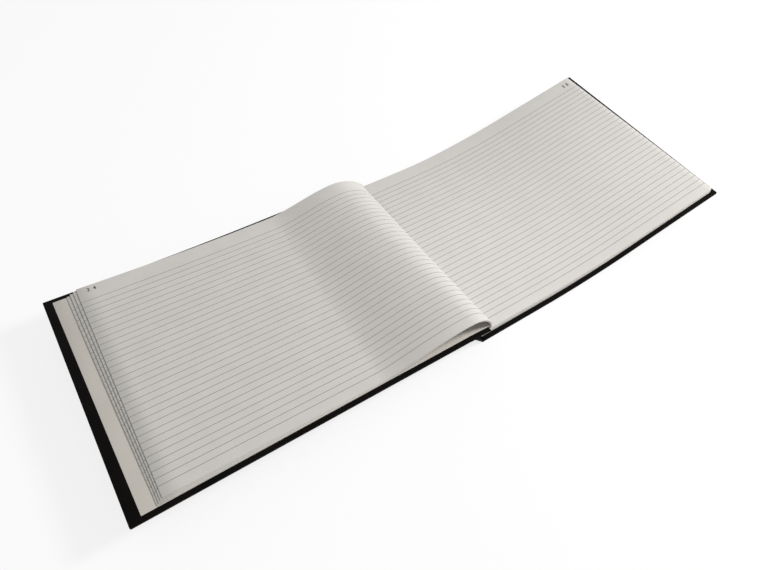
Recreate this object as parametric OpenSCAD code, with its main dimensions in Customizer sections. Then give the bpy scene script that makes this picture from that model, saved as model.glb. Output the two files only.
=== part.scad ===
// An open landscape minute book: case binding in black book cloth over boards,
// ruled leaves, opened near the front. The back half lies on the table and bows
// up towards its fore-edge, and the front cover stands open on its stiff joint.
// X runs across the open book, Y from the tail to the head, Z up.

/* [Boards] */
// Board standing out beyond the leaves at the fore-edge
square_fore = 6; // [3:0.5:10]
// Board standing out beyond the leaves at head and tail
square_head = 4.2; // [2:0.2:8]
// Thickness of the board
board_t = 2; // [1.2:0.1:4]
// Thickness of the book cloth
cloth_t = 0.3; // [0.2:0.05:0.5]
// How far the cloth is turned in over the inner face
turn_in = 15; // [10:1:25]
// Width of the groove between a board and the spine
groove = 3.5; // [3:0.5:10]

/* [Endpapers] */
// Thickness of a pastedown and of a flyleaf
endpaper_t = 0.15; // [0.1:0.05:0.3]
// Cloth left bare between a pastedown and the board's fore-edge
bare_fore = 7.2; // [3:0.2:12]
// How far a pastedown stops short of the leaves' head and tail
paste_short = 0.6; // [0:0.1:3]

/* [Leaves] */
// Height of a leaf
leaf_h = 209.6; // [140:0.2:310]
// Width of a leaf
leaf_w = 285.2; // [190:0.2:410]
// Thickness of one leaf
leaf_t = 0.11; // [0.08:0.01:0.16]
// Leaves turned over onto the front cover
left_count = 12; // [4:1:24]
// Leaves still lying on the back cover
right_count = 60; // [20:1:120]
// How far the lowest turned leaf stays back from the board's fore-edge
left_setback = 17; // [10:1:30]
// How much further back the top turned leaf lies, as the fore-edges fan out
fan = 9; // [2:1:15]

/* [Spine] */
// Thickness of the spine's stiffening card
inlay_t = 1; // [0.6:0.1:2]
// Thickness of the lining glued to the backs of the leaves
lining_t = 0.3; // [0.2:0.1:0.8]
// How much wider the spine is than the leaves and boards it holds
spine_ease = 2; // [0.1:0.1:3]
// Distance from the back groove to the backs of the leaves
backs_in = 7.5; // [1.8:0.1:10]
// Lean of the spine away from upright
spine_lean = 31; // [0:0.5:40]

/* [How it lies open] */
// Rise of the open front cover towards its fore-edge, in degrees
front_rise = 2.45; // [0:0.05:8]
// Length of the back half that lies flat, from the groove
flat_run = 65.4; // [60:0.1:120]
// Radius of the bow beyond the flat length
bow_r = 620; // [500:10:2000]
// Length of the bow, beyond which the half runs on straight
bow_run = 120; // [40:5:140]
// Start of the arch of the turned leaves, from the front groove's outer edge
arch_run = 92; // [70:1:130]
// Height of the arch's crest over the front cover's outer face
arch_rise = 18.3; // [10:0.1:24]
// Distance of the crest from the front groove's outer edge
crest_in = 11; // [8:1:40]
// Distance from the back board's edge to the foot of the arch in the gutter
gutter_in = 8.4; // [1:0.1:16]

/* [Hidden] */

black = "#171412";
card = "#8F8A80";
paper = "#D4D2CD";

// Clearance at each line where one stiff piece bends against the next
bend_gap = 0.3;
// Clearance over the right page where the turned leaves come down
page_gap = 0.3;

// Length of the turned leaves' slow start into the arch
climb_start = 24;
// Length over which the arch levels out before its crest
climb_end = 30;
// Length over which the leaves round over beyond the crest
round_over = 13;
// Lead of the leaves into the gutter: back towards the cover, and up
gutter_lead = [-4, 13];

// Levels above the outer face of a cover
board_z0 = cloth_t;
board_z1 = board_z0 + board_t;
turn_z1 = board_z1 + cloth_t;
paste_z1 = turn_z1 + endpaper_t;
fly_z1 = paste_z1 + endpaper_t;
right_z1 = fly_z1 + right_count * leaf_t;
left_z1 = fly_z1 + left_count * leaf_t;

board_w = leaf_w - (groove - backs_in) + square_fore;
board_h = leaf_h + 2 * square_head;
leaf_y0 = square_head;
bare_head = square_head + paste_short;
leaves_thick = (left_count + right_count) * leaf_t + 2 * endpaper_t + spine_ease;
spine_len = 2 * paste_z1 - cloth_t + leaves_thick;

// Lines that the cloth bends at, in the section across the spine
back_bend = [-groove, cloth_t / 2];
front_bend = back_bend + spine_len * [-sin(spine_lean), cos(spine_lean)];

// Outer edges of the open book, for the origin under its middle
bow_angle = bow_run / bow_r * 180 / PI;
reach = groove + board_w;
left_end = front_bend[0] - reach * cos(front_rise) - cloth_t / 2 * sin(front_rise);
right_end = bowed(board_w, 0)[0];

// A point of the back half, s along its outer face and t above it
function bowed(s, t) =
    s <= flat_run ? [s, t]
    : s <= flat_run + bow_run ? let (a = (s - flat_run) / bow_r * 180 / PI)
        [flat_run + (bow_r - t) * sin(a), bow_r - (bow_r - t) * cos(a)]
    : bowed(flat_run + bow_run, t)
        + (s - flat_run - bow_run) * [cos(bow_angle), sin(bow_angle)];

// Stops along a half: its ends, and the steps of the bow between them
function stops(s0, s1) = concat(
    [s0],
    [for (i = [0 : 12]) let (s = flat_run + i * bow_run / 12) if (s > s0 && s < s1) s],
    [s1]);

// A section point of the table's frame, as the front cover's own section sees it
function seen_from_front(p) =
    let (d = p - front_bend, c = cos(front_rise), s = sin(front_rise))
    [d[0] * c - d[1] * s, d[0] * s + d[1] * c + cloth_t / 2];

function bezier(p, t) =
    pow(1 - t, 3) * p[0] + 3 * pow(1 - t, 2) * t * p[1]
    + 3 * (1 - t) * t * t * p[2] + t * t * t * p[3];

function heading(p, t) =
    let (d = pow(1 - t, 2) * (p[1] - p[0]) + 2 * (1 - t) * t * (p[2] - p[1]) + t * t * (p[3] - p[2]))
    d / norm(d);

// The turned leaves' upper face over the arch, then down into the gutter
crest = [-crest_in, arch_rise];
foot = seen_from_front([gutter_in, right_z1 + page_gap + left_z1 - paste_z1]);
climb = [[-arch_run, left_z1], [climb_start - arch_run, left_z1], crest - [climb_end, 0], crest];
plunge = [crest, crest + [round_over, 0], foot + gutter_lead, foot];

// The line that lies the given depth under the upper face, from the crest's start to the foot
function arch_line(depth, steps = 14) = [
    for (curve = [climb, plunge], i = [0 : steps])
        if (curve == climb || i > 0)
            let (t = i / steps, h = heading(curve, t)) bezier(curve, t) - depth * [-h[1], h[0]]];

// Draws a section across the spine as a solid from y0 to y1
module along_y(y0, y1) {
    translate([0, y1, 0]) rotate([90, 0, 0]) linear_extrude(y1 - y0) children();
}

// A layer of a half: s0 to s1 along it, t0 to t1 above its outer face
module layer(bow, s0, s1, t0, t1, y0, y1) {
    line = stops(s0, s1);
    low = [for (s = line) bow ? bowed(s, t0) : [s, t0]];
    high = [for (i = [len(line) - 1 : -1 : 0]) bow ? bowed(line[i], t1) : [line[i], t1]];
    along_y(y0, y1) polygon(concat(low, high));
}

module in_middle() {
    translate([-(left_end + right_end) / 2, -board_h / 2, 0]) children();
}

// The front cover's own frame: its s runs from the groove to the fore-edge
module on_front() {
    in_middle() translate([front_bend[0], 0, front_bend[1]]) rotate([0, front_rise, 0])
        translate([0, 0, -cloth_t / 2]) children();
}

module front_half() {
    on_front() mirror([1, 0, 0]) translate([groove, 0, 0]) children();
}

module on_spine() {
    in_middle() translate([back_bend[0], 0, back_bend[1]]) rotate([0, -spine_lean, 0]) children();
}

// Cloth round one board: its outer face, its edges and the turned-in border
module cover_cloth(bow) {
    color(black) difference() {
        layer(bow, -groove + bend_gap, board_w, 0, turn_z1, 0, board_h);
        layer(bow, 0, board_w - cloth_t, board_z0, board_z1, cloth_t, board_h - cloth_t);
        layer(bow, -groove, 0, board_z0, turn_z1 + 1, -1, board_h + 1);
        layer(bow, -1, board_w - turn_in, board_z1, turn_z1 + 1, turn_in, board_h - turn_in);
    }
}

module cover_board(bow) {
    color(card) layer(bow, 0, board_w - cloth_t, board_z0, board_z1, cloth_t, board_h - cloth_t);
}

// Filler card that brings the board level with the turned-in cloth
module cover_infill(bow) {
    color(card) layer(bow, 0, board_w - turn_in, board_z1, turn_z1, turn_in, board_h - turn_in);
}

module cover_pastedown(bow) {
    color(paper)
        layer(bow, 0, board_w - bare_fore, turn_z1, paste_z1, bare_head, board_h - bare_head);
}

module front_cloth() front_half() cover_cloth(false);
module front_board() front_half() cover_board(false);
module front_infill() front_half() cover_infill(false);
module front_pastedown() front_half() cover_pastedown(false);
module back_cloth() in_middle() cover_cloth(true);
module back_board() in_middle() cover_board(true);
module back_infill() in_middle() cover_infill(true);
module back_pastedown() in_middle() cover_pastedown(true);

module spine_cloth() {
    color(black) on_spine() translate([-cloth_t / 2, 0, bend_gap])
        cube([cloth_t, board_h, spine_len - 2 * bend_gap]);
}

module spine_inlay() {
    color(card) on_spine() translate([cloth_t / 2, cloth_t, 2 * bend_gap])
        cube([inlay_t, board_h - 2 * cloth_t, spine_len - 4 * bend_gap]);
}

// Gauze and paper over the backs of the leaves
module spine_lining() {
    color(paper) in_middle() translate([-groove + backs_in - lining_t, leaf_y0, paste_z1])
        cube([lining_t, leaf_h, right_z1 - paste_z1]);
}

// The bound leaves that still lie on the back cover
module right_leaves() {
    color(paper) in_middle() layer(true, -groove + backs_in, leaf_w - groove + backs_in,
                                   fly_z1, right_z1, leaf_y0, leaf_y0 + leaf_h);
}

module back_flyleaf() {
    color(paper) in_middle() layer(true, -groove + backs_in, leaf_w - groove + backs_in,
                                   paste_z1, fly_z1, leaf_y0, leaf_y0 + leaf_h);
}

// The turned leaves as one solid: flat on the cover, arched near the spine, fanned at the fore-edge
module left_leaves() {
    depth = left_z1 - fly_z1;
    low_end = [-reach + left_setback, fly_z1];
    high_end = low_end + [fan, depth];
    over = arch_line(0);
    under = arch_line(depth);
    color(paper) on_front() along_y(leaf_y0, leaf_y0 + leaf_h) polygon(concat(
        [low_end, high_end], over, [for (i = [len(under) - 1 : -1 : 0]) under[i]]));
}

module front_flyleaf() {
    low_end = [-reach + left_setback, paste_z1];
    over = arch_line(left_z1 - fly_z1);
    under = arch_line(left_z1 - paste_z1);
    color(paper) on_front() along_y(leaf_y0, leaf_y0 + leaf_h) polygon(concat(
        [low_end, low_end + [0, endpaper_t]], over,
        [for (i = [len(under) - 1 : -1 : 0]) under[i]]));
}

front_cloth();
front_board();
front_infill();
front_pastedown();
front_flyleaf();
left_leaves();
spine_cloth();
spine_inlay();
spine_lining();
right_leaves();
back_flyleaf();
back_pastedown();
back_infill();
back_board();
back_cloth();
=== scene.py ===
import math
import random

import bmesh
import bpy
from mathutils import Euler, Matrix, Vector


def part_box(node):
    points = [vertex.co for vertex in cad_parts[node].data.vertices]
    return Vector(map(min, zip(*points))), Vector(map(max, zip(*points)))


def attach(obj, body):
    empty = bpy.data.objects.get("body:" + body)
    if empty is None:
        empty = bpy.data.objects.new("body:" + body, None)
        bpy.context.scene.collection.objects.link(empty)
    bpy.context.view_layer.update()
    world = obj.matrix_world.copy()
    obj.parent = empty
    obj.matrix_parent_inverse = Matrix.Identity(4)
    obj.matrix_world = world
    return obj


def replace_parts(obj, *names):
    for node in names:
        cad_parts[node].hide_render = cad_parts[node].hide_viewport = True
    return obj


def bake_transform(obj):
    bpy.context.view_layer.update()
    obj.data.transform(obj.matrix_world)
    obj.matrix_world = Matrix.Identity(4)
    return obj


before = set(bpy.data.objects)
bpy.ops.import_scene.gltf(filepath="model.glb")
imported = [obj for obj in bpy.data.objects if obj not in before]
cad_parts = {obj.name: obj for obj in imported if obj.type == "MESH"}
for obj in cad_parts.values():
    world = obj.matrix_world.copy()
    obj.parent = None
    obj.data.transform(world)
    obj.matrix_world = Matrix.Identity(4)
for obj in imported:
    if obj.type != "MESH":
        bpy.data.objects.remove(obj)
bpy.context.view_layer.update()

# Camera: the photograph's viewing angle, from above the tail edge and to the left,
# with the photograph's slight roll.
camera = bpy.data.objects.new("camera", bpy.data.cameras.new("camera"))
camera.data.lens = 28.462
camera.location = (-0.22386, -0.2941, 0.46356)
aim = Vector((-0.02951, -0.01151, 0)) - camera.location
camera.rotation_euler = (aim.to_track_quat("-Z", "Y")
                         @ Euler((0, 0, math.radians(2.04))).to_quaternion()).to_euler()
bpy.context.scene.collection.objects.link(camera)
bpy.context.scene.camera = camera
bpy.context.scene.view_settings.view_transform = "Standard"


# Book cloth: plain-woven cotton, dyed black and filled with starch, so it is
# matt, with a fine even thread and a little dust caught in it.
def linear(code):
    values = [int(code[i:i + 2], 16) / 255 for i in (1, 3, 5)]
    return [v / 12.92 if v <= 0.04045 else ((v + 0.055) / 1.055) ** 2.4 for v in values] + [1]


def new_material(name):
    material = bpy.data.materials.new(name)
    material.use_nodes = True
    return material, material.node_tree.nodes["Principled BSDF"]


def add(material, kind, settings=None, links=None, values=None):
    node = material.node_tree.nodes.new("ShaderNode" + kind)
    for name, value in (settings or {}).items():
        setattr(node, name, value)
    for socket, value in (values or {}).items():
        node.inputs[socket].default_value = value
    for socket, source in (links or {}).items():
        material.node_tree.links.new(source, node.inputs[socket])
    return node


def shades(material, factor, stops):
    ramp = add(material, "ValToRGB", links={"Fac": factor})
    elements = ramp.color_ramp.elements
    while len(elements) < len(stops):
        elements.new(0.5)
    for element, (position, code) in zip(elements, stops):
        element.position = position
        element.color = linear(code)
    return ramp.outputs["Color"]


def laid_out(material):
    """The place on the flat sheet, before it was bent: patterns follow the surface."""
    return add(material, "Attribute", {"attribute_name": "flat"}).outputs["Vector"]


THREAD = 0.0006  # drawn coarser than the real 0.35 mm, so that it shows


def black_book_cloth():
    material, shader = new_material("black_book_cloth")
    where = laid_out(material)
    parts = add(material, "SeparateXYZ", links={0: where})
    turns = 2 * math.pi / THREAD
    weft = add(material, "Math", {"operation": "MULTIPLY"}, {0: parts.outputs["Y"]}, {1: turns})
    warp = add(material, "Math", {"operation": "MULTIPLY"}, {0: parts.outputs["X"]}, {1: turns})
    over = add(material, "Math", {"operation": "SINE"}, {0: weft.outputs[0]})
    under = add(material, "Math", {"operation": "SINE"}, {0: warp.outputs[0]})
    weave = add(material, "Math", {"operation": "MULTIPLY"},
                {0: over.outputs[0], 1: under.outputs[0]})
    slub = add(material, "TexNoise", links={"Vector": where},
               values={"Scale": 900.0, "Detail": 3.0, "Roughness": 0.6})
    height = add(material, "Math", {"operation": "MULTIPLY_ADD"},
                 {0: weave.outputs[0], 2: slub.outputs["Fac"]}, {1: 0.5})
    bump = add(material, "Bump", links={"Height": height.outputs[0]},
               values={"Strength": 0.35, "Distance": 0.00012})
    cloud = add(material, "TexNoise", links={"Vector": where},
                values={"Scale": 45.0, "Detail": 4.0, "Roughness": 0.55})
    colour = shades(material, cloud.outputs["Fac"],
                    [(0.3, "#060504"), (0.55, "#0A0807"), (0.8, "#100D0A")])
    link = material.node_tree.links.new
    link(colour, shader.inputs["Base Color"])
    link(bump.outputs["Normal"], shader.inputs["Normal"])
    shader.inputs["Roughness"].default_value = 0.9
    shader.inputs["Specular IOR Level"].default_value = 0.08
    shader.inputs["Sheen Weight"].default_value = 0.02
    return material


cloth = black_book_cloth()

# The back cover: a 2 mm board wrapped in one piece of book cloth, its edges turned
# in and mitred. It lies on the table and bows up towards its fore-edge.
MM = 0.001
BOARD_W = 0.2953
BOARD_H = 0.218
COVER_T = 0.0026
CLOTH_T = 0.0003
GROOVE = 0.0035
FLAT_RUN = 0.0654
BOW_R = 0.620
BOW_RUN = 0.120
board_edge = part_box("back_board")[0].x


def bowed(s, t):
    """A point of the back cover's section, s along the board and t above its outside."""
    if s <= FLAT_RUN:
        return Vector((s, t))
    turn = min(s - FLAT_RUN, BOW_RUN) / BOW_R
    bend = Vector((FLAT_RUN + (BOW_R - t) * math.sin(turn), BOW_R - (BOW_R - t) * math.cos(turn)))
    beyond = max(0.0, s - FLAT_RUN - BOW_RUN)
    return bend + beyond * Vector((math.cos(turn), math.sin(turn)))


ASKEW = 0.0008
BACK_WARP = -0.0036


def warp(amount, s, share):
    """A cover's outer corner stands a little above or below the board's even curve."""
    outward = max(0.0, (s - FLAT_RUN) / (BOARD_W - FLAT_RUN)) ** 2
    return amount * max(0.0, min(1.0, share)) * outward


def on_back(p):
    x, z = bowed(p.x, p.z)
    return Vector((board_edge + x, p.y - BOARD_H / 2,
                   z + warp(BACK_WARP, p.x, 1 - p.y / BOARD_H)))


def lay(bm, place):
    """Keeps each point's place on the flat sheet for the material, then bends the sheet."""
    flat = bm.verts.layers.float_vector.new("flat")
    for v in bm.verts:
        v[flat] = v.co
        v.co = place(v.co.copy())


def merge(bm, part):
    carried = bpy.data.meshes.new("part")
    part.to_mesh(carried)
    part.free()
    bm.from_mesh(carried)
    bpy.data.meshes.remove(carried)


def piece(name, bm, material, body=None, smooth=True):
    bmesh.ops.recalc_face_normals(bm, faces=bm.faces[:])
    mesh = bpy.data.meshes.new(name)
    bm.to_mesh(mesh)
    bm.free()
    for face in mesh.polygons:
        face.use_smooth = smooth
    mesh.set_sharp_from_angle(angle=math.radians(40))
    made = bpy.data.objects.new(name, mesh)
    made.data.materials.append(material)
    bpy.context.scene.collection.objects.link(made)
    if body:
        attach(made, body)
    return made


def slab(s0, s1, y0, y1, t0, t1, edge=0.0, corner=0.0, segments=2):
    bm = bmesh.new()
    bmesh.ops.create_cube(bm, size=1.0)
    bmesh.ops.scale(bm, vec=(s1 - s0, y1 - y0, t1 - t0), verts=bm.verts)
    bmesh.ops.translate(bm, vec=((s0 + s1) / 2, (y0 + y1) / 2, (t0 + t1) / 2), verts=bm.verts)
    if corner:
        upright = [e for e in bm.edges
                   if abs(e.verts[0].co.z - e.verts[1].co.z) > (t1 - t0) / 2]
        bmesh.ops.bevel(bm, geom=upright, offset=corner, segments=segments, profile=0.5,
                        affect="EDGES", material=-1)
    if edge:
        rims = [e for e in bm.edges if abs(e.verts[0].co.z - e.verts[1].co.z) < 1e-7
                and any(abs(f.normal.z) < 0.5 for f in e.link_faces)
                and any(abs(f.normal.z) > 0.5 for f in e.link_faces)]
        bmesh.ops.bevel(bm, geom=rims, offset=edge, segments=segments, profile=0.5,
                        affect="EDGES", material=-1)
    return bm


def cut_across(bm, s0, s1, step):
    """Cuts a flat slab at each step of its length, so that it can bend."""
    s = s0 + step
    while s < s1 - step / 2:
        bmesh.ops.bisect_plane(bm, geom=bm.verts[:] + bm.edges[:] + bm.faces[:],
                               plane_co=(s, 0, 0), plane_no=(1, 0, 0))
        s += step


def cover(name, place, body, askew=0.0):
    bm = slab(0, BOARD_W, 0, BOARD_H, 0, COVER_T, edge=0.5 * MM, corner=0.9 * MM, segments=3)
    cut_across(bm, 0, BOARD_W, step=0.008)
    for v in bm.verts:
        v.co.x += askew * v.co.x / BOARD_W * max(0.0, v.co.y / BOARD_H) ** 1.5
    lay(bm, place)
    return piece(name, bm, cloth, body)


back_cover = cover("back_cover", on_back, "text_block", ASKEW)
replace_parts(back_cover, "back_cloth", "back_board", "back_infill")

# The front cover: the same board and cloth, lying open on the left. Its stiff joint
# holds it up, a little higher at the fore-edge.
RISE = math.radians(2.45)
LEAN = math.radians(31)
SPINE_LEN = 0.01542
FRONT_WARP = 0.0022
FRONT_SAG = 0.0022
back_bend = Vector((board_edge - GROOVE, CLOTH_T / 2))
front_bend = back_bend + SPINE_LEN * Vector((-math.sin(LEAN), math.cos(LEAN)))


def on_front(p):
    along = p.x + GROOVE
    mid_board = math.sin(math.pi * max(0.0, min(1.0, p.x / BOARD_W)))
    sag = mid_board * max(0.0, min(1.0, p.y / BOARD_H)) ** 6
    up = p.z - CLOTH_T / 2 + warp(FRONT_WARP, p.x, p.y / BOARD_H) - FRONT_SAG * sag
    return Vector((front_bend.x - along * math.cos(RISE) + up * math.sin(RISE),
                   p.y - BOARD_H / 2,
                   front_bend.y + along * math.sin(RISE) + up * math.cos(RISE)))


front_cover = cover("front_cover", on_front, "front_cover")
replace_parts(front_cover, "front_cloth", "front_board", "front_infill")


# The cloth over the spine and both grooves: it is one piece with the covers and
# bends at the foot and at the head of the spine, where the joints are.
def strip(bm, path, y0, y1, width, far_path=None):
    """Adds a strip that follows a section line, path at y0 and far_path at y1."""
    grid = bmesh.new()
    bmesh.ops.create_grid(grid, x_segments=len(path) - 1, y_segments=12, size=0.5)
    bmesh.ops.solidify(grid, geom=grid.faces[:], thickness=width)
    length = [0.0]
    for a, b in zip(path, path[1:]):
        length.append(length[-1] + (b - a).length)
    flat = grid.verts.layers.float_vector.new("flat")
    for v in grid.verts:
        i = round((v.co.x + 0.5) * (len(path) - 1))
        share = v.co.y + 0.5
        line = [a.lerp(b, share) for a, b in zip(path, far_path or path)]
        ahead = line[min(i + 1, len(path) - 1)] - line[max(i - 1, 0)]
        side = Vector((-ahead.y, ahead.x)).normalized()
        y = y0 + (y1 - y0) * share
        up = v.co.z + width / 2
        v[flat] = (length[i], y, up)
        place = line[i] + side * up
        v.co = (place.x, y - BOARD_H / 2, place.y)
    merge(bm, grid)


def softened(start, bend, end, radius, steps=6):
    """A section line from start to end, rounded over radius at its bend."""
    into = bend + (start - bend).normalized() * radius
    out = bend + (end - bend).normalized() * radius
    curve = [into.lerp(bend, i / steps).lerp(bend.lerp(out, i / steps), i / steps)
             for i in range(steps + 1)]
    return [start] + curve + [end]


def front_section(u, t):
    p = on_front(Vector((u, 0, t)))
    return Vector((p.x, p.z))


board_foot = Vector((board_edge - 0.0007, CLOTH_T / 2))
spine_middle = board_foot.lerp(front_bend, 0.5)
back_groove = softened(Vector((board_edge + 0.0004, CLOTH_T / 2)), board_foot, spine_middle,
                       radius=0.001)
front_groove = softened(spine_middle, front_bend, front_section(0.0004, CLOTH_T / 2),
                        radius=0.0015)
back_joint = bmesh.new()
strip(back_joint, back_groove, 0, BOARD_H, CLOTH_T)
back_joint_cloth = piece("back_joint_cloth", back_joint, cloth)
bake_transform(back_joint_cloth)
front_joint = bmesh.new()
strip(front_joint, front_groove, 0, BOARD_H, CLOTH_T)
front_joint_cloth = piece("front_joint_cloth", front_joint, cloth)
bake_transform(front_joint_cloth)
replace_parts(back_joint_cloth, "spine_cloth")


# The spine's card: greyboard, pulp pressed grey and matt, glued inside the cloth. The
# cloth is turned in over both its ends.
def on_spine(p):
    along = (front_bend - board_foot).normalized()
    place = board_foot + along * p.x + Vector((along.y, -along.x)) * p.z
    return Vector((place.x, p.y - BOARD_H / 2, place.y))


def in_object(material):
    return add(material, "TexCoord").outputs["Object"]


greyboard, greyboard_shader = new_material("greyboard")
pulp = add(greyboard, "TexNoise", links={"Vector": in_object(greyboard)},
           values={"Scale": 700.0, "Detail": 5.0, "Roughness": 0.6})
greyboard.node_tree.links.new(
    shades(greyboard, pulp.outputs["Fac"], [(0.35, "#857F74"), (0.7, "#979186")]),
    greyboard_shader.inputs["Base Color"])
greyboard_shader.inputs["Roughness"].default_value = 0.9

TURN_IN = 0.015
up_spine = (front_bend - board_foot).length
card = slab(0.001, up_spine - 0.001, TURN_IN, BOARD_H - TURN_IN, 0.0002, 0.0012, edge=0.2 * MM)
lay(card, on_spine)
spine_card = piece("spine_card", card, greyboard, "spine")
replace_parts(spine_card, "spine_inlay")
spine_ends = bmesh.new()
for end in (0.0, BOARD_H - TURN_IN):
    merge(spine_ends, slab(0.0028, up_spine - 0.0006, end, end + TURN_IN, 0.00015, 0.0016,
                           edge=0.3 * MM))
lay(spine_ends, on_spine)
piece("spine_turn_ins", spine_ends, cloth, "spine")

# Over the front joint the turned-in cloth runs on, black at head and tail, from the
# cover to the shoulder of the leaves.
SQUARE = 0.0046
near_shoulder = Vector((board_edge + 0.0061, 0.0132))
far_shoulder = Vector((board_edge + 0.0015, 0.0132))


def over_joint(name, material, bands, level, start_t, width, further):
    """Two pieces that meet right of the front bend, level over it.

    further is how far they pass the shoulder.
    """
    middle = front_bend + Vector((0.008, level))
    start = front_section(0.0006, start_t)
    for side in ("", "_gutter"):
        bm = bmesh.new()
        for y0, y1 in bands:
            paths = []
            for y in (y0, y1):
                end = near_shoulder.lerp(far_shoulder, y / BOARD_H) + further
                first, last = (middle, end) if side else (start, middle)
                paths.append([first.lerp(last, i / 8) for i in range(9)])
            strip(bm, paths[0], y0, y1, width, paths[1])
        made = piece(name + side, bm, material)
        if side:
            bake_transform(made)
        else:
            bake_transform(made)


over_joint("joint_turn_in", cloth,
           bands=((0.0, SQUARE), (BOARD_H - SQUARE, BOARD_H)),
           level=0.0011, start_t=COVER_T - CLOTH_T, width=2 * CLOTH_T, further=Vector((0, 0)))

# Ruled leaves: wood-free writing paper, matt and slightly warm, with fine fibres and
# pale grey rules printed on both sides across the whole leaf.
RULE_FIRST = 0.1968
RULE_PITCH = 0.0061163
RULES = 31
RULE_CORE, RULE_EDGE = 0.022, 0.042  # half a rule's width, full and faded, in pitches
FORE_EDGE_SHADE, FORE_EDGE_SHADE_RUN = 0.42, 0.016  # painted shade: how far each turned leaf is mixed towards grey at its fore-edge, and how far in


def ruled_paper(name, light, dark, shaded_fore_edge=False):
    material, shader = new_material(name)
    where = laid_out(material)
    parts = add(material, "SeparateXYZ", links={0: where})
    down = add(material, "Math", {"operation": "SUBTRACT"}, {1: parts.outputs["Y"]},
               {0: RULE_FIRST})
    count = add(material, "Math", {"operation": "DIVIDE"}, {0: down.outputs[0]}, {1: RULE_PITCH})
    nearest = add(material, "Math", {"operation": "ROUND"}, {0: count.outputs[0]})
    off = add(material, "Math", {"operation": "SUBTRACT"},
              {0: count.outputs[0], 1: nearest.outputs[0]})
    away = add(material, "Math", {"operation": "ABSOLUTE"}, {0: off.outputs[0]})
    line = add(material, "MapRange", {"interpolation_type": "SMOOTHSTEP"},
               {"Value": away.outputs[0]},
               {"From Min": RULE_CORE, "From Max": RULE_EDGE, "To Min": 1.0, "To Max": 0.0})
    not_above = add(material, "Math", {"operation": "GREATER_THAN"}, {0: nearest.outputs[0]},
                    {1: -0.5})
    not_below = add(material, "Math", {"operation": "LESS_THAN"}, {0: nearest.outputs[0]},
                    {1: RULES - 0.5})
    some = add(material, "Math", {"operation": "MULTIPLY"},
               {0: line.outputs[0], 1: not_above.outputs[0]})
    rules = add(material, "Math", {"operation": "MULTIPLY"},
                {0: some.outputs[0], 1: not_below.outputs[0]})
    cloud = add(material, "TexNoise", links={"Vector": where},
                values={"Scale": 60.0, "Detail": 5.0, "Roughness": 0.65})
    tone = shades(material, cloud.outputs["Fac"], [(0.3, dark), (0.7, light)])
    # Painted shade: each turned leaf darkens towards its own fore-edge, for the shade where the
    # fanned edges curl down and fall on the leaves below.
    if shaded_fore_edge:
        painted_fore_edge_shade = add(material, "MapRange", {"interpolation_type": "SMOOTHSTEP"},
                      {"Value": parts.outputs["X"]},
                      {"From Min": 0.0, "From Max": FORE_EDGE_SHADE_RUN, "To Min": FORE_EDGE_SHADE, "To Max": 0.0})
        tone = add(material, "Mix", {"data_type": "RGBA"}, {0: painted_fore_edge_shade.outputs[0], "A": tone},
                   {"B": linear("#8C8A84")}).outputs["Result"]
    inked = add(material, "Mix", {"data_type": "RGBA"}, {0: rules.outputs[0], "A": tone},
                {"B": linear("#6F716F")})
    fibre = add(material, "TexNoise", links={"Vector": where},
                values={"Scale": 1500.0, "Detail": 4.0, "Roughness": 0.7})
    bump = add(material, "Bump", links={"Height": fibre.outputs["Fac"]},
               values={"Strength": 0.25, "Distance": 0.00005})
    link = material.node_tree.links.new
    link(inked.outputs["Result"], shader.inputs["Base Color"])
    link(bump.outputs["Normal"], shader.inputs["Normal"])
    shader.inputs["Roughness"].default_value = 0.85
    shader.inputs["Specular IOR Level"].default_value = 0.25
    return material


writing_paper = ruled_paper("ruled_writing_paper", "#D0CDC8", "#CCC9C4")

# The leaves still on the back cover: sewn gatherings of eight leaves, trimmed
# together, so that each gathering's edges lie a hair's breadth from the next.
LEAF_T = 0.00011
LEAF_H = 0.2096
LEAF_Y0 = 0.0042
BACKS = 0.0040
LEAF_END = 0.2892
FLY_Z1 = 0.0029
PAGES_Z1 = 0.0095
LEAVES_TO_TURN = 60
GATHERING = 8
FORE_SHORT = 0.0014
HEAD_SHORT = 0.0004
DIP_SPREAD = 0.055


def trimmed(s, most, middle):
    """How far the leaves' head edge falls short of a straight cut."""
    return HEAD_SHORT + most * math.exp(-((s - middle) / DIP_SPREAD) ** 2)


random.seed(7)
block = bmesh.new()
leaves_left = LEAVES_TO_TURN
level = FLY_Z1
while leaves_left:
    leaves = min(GATHERING, leaves_left)
    top = level + leaves * LEAF_T
    in_or_out = random.uniform(-0.12, 0.12) * MM
    gathering = slab(BACKS, LEAF_END + in_or_out,
                     LEAF_Y0 - in_or_out / 2, LEAF_Y0 + LEAF_H + in_or_out,
                     level, top - 0.01 * MM, edge=0.12 * MM, segments=2)
    cut_across(gathering, BACKS, LEAF_END, step=0.008)
    merge(block, gathering)
    level = top
    leaves_left -= leaves
for v in block.verts:
    v.co.x -= FORE_SHORT * v.co.y / BOARD_H * v.co.x / LEAF_END
    if v.co.y > BOARD_H / 2:
        v.co.y -= trimmed(v.co.x, most=0.0016, middle=0.060)
lay(block, on_back)
right_leaves = piece("right_leaves_block", block, writing_paper, "text_block")
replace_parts(right_leaves, "right_leaves")


# The turned leaves: loose sheets that lie on the front cover with their fore-edges
# fanned out, rise in an arch towards the spine and curl down into the gutter.
def seen_from_front(x, z):
    dx = x - front_bend.x
    dz = z - front_bend.y
    return Vector((-(dx * math.cos(RISE) - dz * math.sin(RISE)) - GROOVE,
                   dx * math.sin(RISE) + dz * math.cos(RISE) + CLOTH_T / 2))


def bezier(points, t):
    a, b, c, d = points
    at = a * (1 - t) ** 3 + b * 3 * (1 - t) ** 2 * t + c * 3 * (1 - t) * t * t + d * t ** 3
    way = (b - a) * (1 - t) ** 2 + (c - b) * 2 * (1 - t) * t + (d - c) * t * t
    return at, way.normalized()


LIE, CLIMB, PLUNGE = 12, 22, 18  # steps along the flat part, the rise and the curl
IN_GUTTER = LIE + CLIMB + 14


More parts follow.
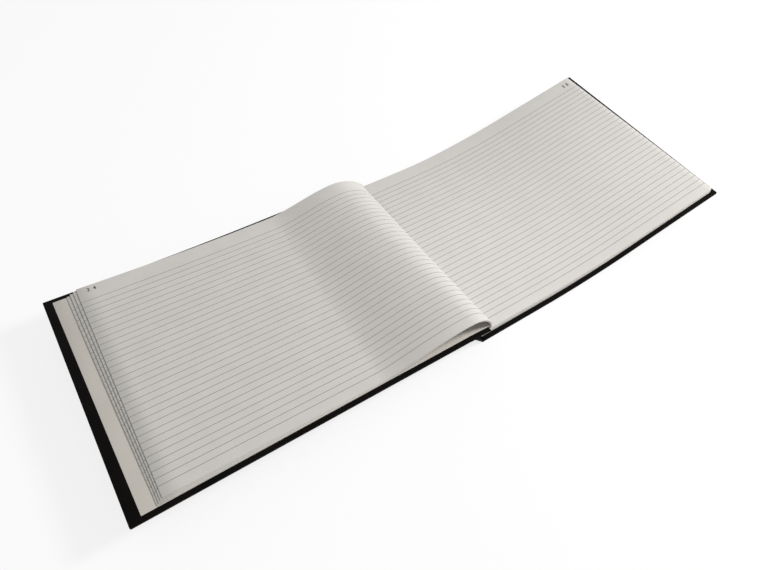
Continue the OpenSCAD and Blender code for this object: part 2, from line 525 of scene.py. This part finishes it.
def arch(v, depth, fore, fore_lift):
    """The section line of one leaf at v, 0 at the tail and 1 at the head: its fore-edge first."""
    tail = 1 - v
    start = Vector((0.086 + 0.004 * tail, 0.00422))
    crest = seen_from_front(board_edge - 0.030 + 0.0155 * tail, 0.0305 + 0.0039 * tail)
    foot = seen_from_front(board_edge + 0.0058 + 0.005 * tail, PAGES_Z1 + 0.0003)
    climb = (start, start - Vector((0.018 + 0.002 * tail, -0.0002)),
             crest + Vector((0.022 + 0.012 * tail, 0)), crest)
    plunge = (crest, crest - Vector((0.0135 - 0.001 * tail, 0)),
              foot + Vector((0.0062 - 0.0044 * tail, 0.0112 + 0.003 * tail)), foot)
    line = []
    for i in range(LIE):
        share = i / LIE
        u = fore + (start.x - fore) * share
        line.append(Vector((u, start.y - depth + fore_lift * (1 - share) ** 3)))
    for curve, steps in ((climb, CLIMB), (plunge, PLUNGE)):
        for i in range(steps + (curve is plunge)):
            at, way = bezier(curve, i / steps)
            line.append(at - depth * Vector((way.y, -way.x)))
    return line


def leaf_stretch(bm, first, last, depth, thick, fores, lifts, slide):
    sheet = bmesh.new()
    columns = last - first
    rows = 24
    bmesh.ops.create_grid(sheet, x_segments=columns, y_segments=rows, size=0.5)
    bmesh.ops.solidify(sheet, geom=sheet.faces[:], thickness=thick)
    flat = sheet.verts.layers.float_vector.new("flat")
    lines = {}
    for v in sheet.verts:
        row = round((v.co.y + 0.5) * rows)
        column = first + round((v.co.x + 0.5) * columns)
        under = v.co.z < -thick / 2
        key = (row, under)
        if key not in lines:
            share = row / rows
            fore = BOARD_W - fores[0] - (fores[1] - fores[0]) * share
            lift = lifts[0] + (lifts[1] - lifts[0]) * share
            lines[key] = arch(share, depth + thick * under, fore, lift)
        u, t = lines[key][column]
        y = LEAF_Y0 + LEAF_H * row / rows - (row == rows) * trimmed(u, most=0.0004, middle=0.150)
        v[flat] = (lines[key][0].x - u, y, t)
        y += slide * max(0.0, u / BOARD_W)
        v.co = on_front(Vector((u, y, t)))
    merge(bm, sheet)


def turned_leaf(bms, depth, thick, fores, lifts, slide):
    """Adds one leaf in two stretches, bms, that meet in the gutter.

    Its upper face lies depth below the top page. fores and lifts are its fore-edge's
    distance from the board's edge and its height, at the tail and at the head.
    """
    for bm, first, last in zip(bms, (0, IN_GUTTER), (IN_GUTTER, LIE + CLIMB + PLUNGE)):
        leaf_stretch(bm, first, last, depth, thick, fores, lifts, slide)


def crossing(name, bms, material):
    """Makes the leaves' main stretch and their gutter stretch, each as a piece of its own.
    """
    main = piece(name, bms[0], material)
    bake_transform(main)
    gutter = piece(name + "_gutter", bms[1], material)
    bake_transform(gutter)
    return main


TURNED = 12
IN_GROUP = 3
LAST_GROUP = TURNED // IN_GROUP - 1
# Painted shade: the turned leaves are the same paper as the block, drawn a little darker.
turned_paper = ruled_paper("ruled_writing_paper_turned", "#CBC8C3", "#C6C3BE", shaded_fore_edge=True)
stack = [bmesh.new(), bmesh.new()]
for k in reversed(range(TURNED)):
    group = (TURNED - 1 - k) // IN_GROUP
    share = group / LAST_GROUP + 0.02 * (k % IN_GROUP)
    turned_leaf(stack, k * LEAF_T, LEAF_T * 0.8,
                fores=(0.0212 + 0.0050 * share, 0.0188 + 0.0090 * share),
                lifts=(0.0002 * group, 0.0003 * group), slide=0.0005 + 0.0033 * share)
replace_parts(crossing("turned_leaves", stack, turned_paper), "left_leaves")


# Endpapers: one stout warm-grey sheet at each end of the book, half pasted to the board
# and half a free flyleaf.
def endpaper(name, place):
    material, shader = new_material(name)
    where = place(material)
    cloud = add(material, "TexNoise", links={"Vector": where},
                values={"Scale": 14.0, "Detail": 4.0, "Roughness": 0.55})
    tone = shades(material, cloud.outputs["Fac"], [(0.3, "#BCB7AF"), (0.7, "#C4BFB7")])
    fibre = add(material, "TexNoise", links={"Vector": where},
                values={"Scale": 1200.0, "Detail": 4.0, "Roughness": 0.7})
    bump = add(material, "Bump", links={"Height": fibre.outputs["Fac"]},
               values={"Strength": 0.3, "Distance": 0.00006})
    link = material.node_tree.links.new
    link(tone, shader.inputs["Base Color"])
    link(bump.outputs["Normal"], shader.inputs["Normal"])
    shader.inputs["Roughness"].default_value = 0.88
    shader.inputs["Specular IOR Level"].default_value = 0.2
    return material


ENDPAPER_T = 0.00015
endpaper_sheet = endpaper("endpaper_sheet", laid_out)
flyleaf = [bmesh.new(), bmesh.new()]
turned_leaf(flyleaf, TURNED * LEAF_T, ENDPAPER_T, fores=(0.0208, 0.0184), lifts=(0.0, 0.0),
            slide=0.0004)
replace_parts(crossing("flyleaf", flyleaf, endpaper_sheet), "front_flyleaf")

# The front pastedown was put down a little askew, so the bare turn-in is wider at the
# tail. Past the board a strip of the same sheet bridges the joint to the gutter.
BARE_HEAD = 0.0071
BARE_TAIL = 0.0096
pasted = slab(0.0006, BOARD_W - BARE_HEAD, LEAF_Y0, LEAF_Y0 + LEAF_H,
              COVER_T - 0.00002, COVER_T + 0.00013, edge=0.05 * MM, corner=0.4 * MM)
cut_across(pasted, 0, BOARD_W, step=0.01)
for v in pasted.verts:
    v.co.x -= (BARE_TAIL - BARE_HEAD) * (1 - v.co.y / BOARD_H) * v.co.x / BOARD_W
lay(pasted, on_front)
front_pastedown = piece("pastedown_front", pasted, endpaper_sheet, "front_cover")
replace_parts(front_pastedown, "front_pastedown")
over_joint("joint_endpaper", endpaper_sheet,
           bands=((SQUARE - 0.0003, BOARD_H - SQUARE + 0.0003),),
           level=0.0015, start_t=COVER_T, width=ENDPAPER_T, further=Vector((0.0022, 0.0005)))

# The back pastedown and back flyleaf lie flat on the back cover, under the leaves. The
# lining of strong paper over the leaves' backs keeps its CAD solid.
back_sheets = (("pastedown_back", 0.0006, BOARD_W - BARE_HEAD, COVER_T - 0.00002, "back_pastedown"),
               ("flyleaf_back", BACKS, LEAF_END, COVER_T + 0.00015, "back_flyleaf"))
for name, start, end, level, node in back_sheets:
    sheet = slab(start, end, LEAF_Y0, LEAF_Y0 + LEAF_H, level, level + 0.00014, edge=0.05 * MM)
    cut_across(sheet, 0, BOARD_W, step=0.01)
    lay(sheet, on_back)
    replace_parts(piece(name, sheet, endpaper_sheet, "text_block"), node)
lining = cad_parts["spine_lining"].data
lining.materials.clear()
lining.materials.append(endpaper("endpaper_pasted", in_object))

# Page numbers: stamped in black ink with a numbering machine, near the outer corners
# at the head. The ink is matt and unevenly taken up by the paper.
ink, ink_shader = new_material("stamping_ink")
fade = add(ink, "TexNoise", links={"Vector": in_object(ink)},
           values={"Scale": 1400.0, "Detail": 3.0, "Roughness": 0.6})
ink.node_tree.links.new(shades(ink, fade.outputs["Fac"], [(0.35, "#262628"), (0.65, "#4E4E50")]),
                        ink_shader.inputs["Base Color"])
ink_shader.inputs["Roughness"].default_value = 0.8
DIGIT_H = 0.0040
DIGIT_SHARE = 0.73  # a digit's height as a share of the font's size


def page_number(name, digits, body, weight, place):
    letters = bpy.data.curves.new(name, "FONT")
    letters.body = digits
    letters.size = DIGIT_H / DIGIT_SHARE
    letters.align_x = "CENTER"
    letters.align_y = "CENTER"
    letters.space_character = 1.9
    letters.extrude = 0.00001
    letters.offset = weight
    typed = bpy.data.objects.new(name, letters)
    bpy.context.scene.collection.objects.link(typed)
    mesh = bpy.data.meshes.new_from_object(typed)
    bm = bmesh.new()
    bm.from_mesh(mesh)
    bpy.data.meshes.remove(mesh)
    bpy.data.objects.remove(typed)
    bpy.data.curves.remove(letters)
    bmesh.ops.remove_doubles(bm, verts=bm.verts, dist=1e-6)
    for v in bm.verts:
        v.co = place(v.co.copy())
    piece(name, bm, ink, body, smooth=False)


def top_page(u):
    """The height of the top turned page above the front cover's outside at u."""
    return 0.00425 + 0.0012 * ((u - 0.086) / (0.2674 - 0.086)) ** 3


def on_right_page(p):
    return on_back(Vector((0.2777 + p.x, 0.2051 + p.y, PAGES_Z1 + 0.00001 + p.z)))


def on_left_page(p):
    u = 0.2559 - p.x
    return on_front(Vector((u, 0.2113 + p.y, top_page(u) + p.z)))


page_number("page_number_right", "25", "text_block", 0.00022, on_right_page)
page_number("page_number_left", "24", "front_cover", 0.0, on_left_page)

# Floor and light: a pale studio floor, a key lamp above and to the right of the
# tail edge, and a plain bright room.
FLOOR_GLOW = 0.8  # how white the floor is seen, whatever light falls on it
floor = bpy.data.objects.new("floor", bpy.data.meshes.new("floor"))
ground = bmesh.new()
bmesh.ops.create_grid(ground, x_segments=1, y_segments=1, size=4.0)
ground.to_mesh(floor.data)
ground.free()
bpy.context.scene.collection.objects.link(floor)
floor_paint, floor_shader = new_material("pale_floor")
floor_shader.inputs["Base Color"].default_value = linear("#F4F4F3")
floor_shader.inputs["Roughness"].default_value = 0.9
seen = add(floor_paint, "LightPath")
some_ray = add(floor_paint, "Math", {"operation": "MAXIMUM"},
               {0: seen.outputs["Is Camera Ray"], 1: seen.outputs["Is Glossy Ray"]})
any_ray = add(floor_paint, "Math", {"operation": "MAXIMUM"},
              {0: some_ray.outputs[0], 1: seen.outputs["Is Transmission Ray"]})
glow = add(floor_paint, "Math", {"operation": "MULTIPLY"}, {0: any_ray.outputs[0]},
           {1: FLOOR_GLOW})
white = add(floor_paint, "Emission", values={"Color": (1.0, 1.0, 1.0, 1.0), "Strength": 1.0})
mixed = add(floor_paint, "MixShader",
            links={0: glow.outputs[0], 1: floor_shader.outputs[0], 2: white.outputs[0]})
output = floor_paint.node_tree.nodes["Material Output"]
floor_paint.node_tree.links.new(mixed.outputs[0], output.inputs["Surface"])
floor.data.materials.append(floor_paint)

world = bpy.data.worlds.new("studio")
bpy.context.scene.world = world
world.use_nodes = True
sky = world.node_tree.nodes["Background"]
sky.inputs["Color"].default_value = (1.0, 1.0, 1.0, 1.0)
sky.inputs["Strength"].default_value = 0.52

key = bpy.data.objects.new("key", bpy.data.lights.new("key", "AREA"))
key.data.shape = "DISK"
key.data.size = 0.4
key.data.energy = 28.6
key.location = (1.35, -0.45, 1.0)
key.rotation_euler = (-key.location).to_track_quat("-Z", "Y").to_euler()
bpy.context.scene.collection.objects.link(key)
